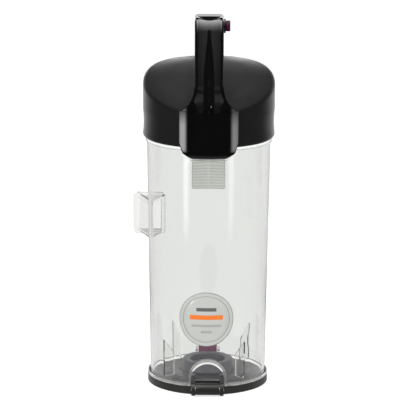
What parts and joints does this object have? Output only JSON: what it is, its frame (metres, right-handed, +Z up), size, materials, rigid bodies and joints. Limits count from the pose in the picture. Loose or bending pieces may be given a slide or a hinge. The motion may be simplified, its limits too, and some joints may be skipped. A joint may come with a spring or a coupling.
{
  "type": "cyclone dust bin",
  "caption": "Clear tapered dust bin for a vacuum cleaner, with a side inlet, a drop-down base flap on a rear catch, and a lift-off lid with a loop handle and release button.",
  "frame": {"origin": "on the standing surface under the axis of the clear cylinder, at the middle of the flap's underside", "axes": "+Z up along the cylinder, -Y towards the handle's front leg and the flap hinge, +X to the button side"},
  "size_m": [0.1417, 0.14, 0.3774],
  "materials": {
    "clear_plastic": "clear polished moulding",
    "pale_label": "smooth printed film left blank",
    "grey_label": "plain film",
    "flap_plastic": "satin olive black",
    "satin_plastic": "satin black",
    "gloss_plastic": "high gloss black",
    "purple_plastic": "glossy dark purple",
    "black_rubber": "matt",
    "grey_rubber": "smooth dark grey",
    "steel": "bright"
  },
  "bodies": {
    "bin": {"bin_cylinder": "clear_plastic", "round_label": "pale_label", "rear_label": "grey_label", "hinge_bracket": "flap_plastic", "hinge_pin": "steel", "catch_pin": "steel", "catch_spring": "steel"},
    "flap": {"base_flap": "flap_plastic", "flap_seal": "black_rubber", "dust_seal": "grey_rubber"},
    "catch": {"base_catch": "purple_plastic"},
    "lid": {"lid_shell": "satin_plastic", "lid_liner": "satin_plastic", "lid_seal": "black_rubber", "outlet_gasket": "black_rubber", "handle_shell": "gloss_plastic", "handle_cover": "satin_plastic", "button_collar": "gloss_plastic", "liner_screws": "steel", "handle_screws": "steel", "cover_screw": "steel", "bolt_spring": "steel"},
    "button": {"release_button": "purple_plastic"},
    "bolt": {"release_bolt": "satin_plastic"}
  },
  "joints": [
    {"name": "flap_hinge", "type": "hinge", "parent": "bin", "child": "flap", "pos_m": [0, -0.065, 0.0075], "axis": [-1, 0, 0], "range_deg": [0, 95]},
    {"name": "catch_hinge", "type": "hinge", "parent": "bin", "child": "catch", "pos_m": [0, 0.0646, 0.026], "axis": [1, 0, 0], "range_deg": [0, 8], "stiffness_Nm_per_rad": 1.5, "deforming": ["catch_spring"]},
    {"name": "lid_lift", "type": "slide", "parent": "bin", "child": "lid", "axis": [0, 0, 1], "range_m": [0, 0.04]},
    {"name": "button_press", "type": "slide", "parent": "lid", "child": "button", "axis": [-1, 0, 0], "range_m": [0, 0.0035], "stiffness_N_per_m": 900, "deforming": ["bolt_spring"]},
    {"name": "bolt_draw", "type": "slide", "parent": "lid", "child": "bolt", "axis": [0, -0.9917, 0.1288], "range_m": [0, 0.0035]}
  ],
  "couplings": [
    {"joint": "bolt_draw", "follows": "button_press", "ratio": 1}
  ]
}
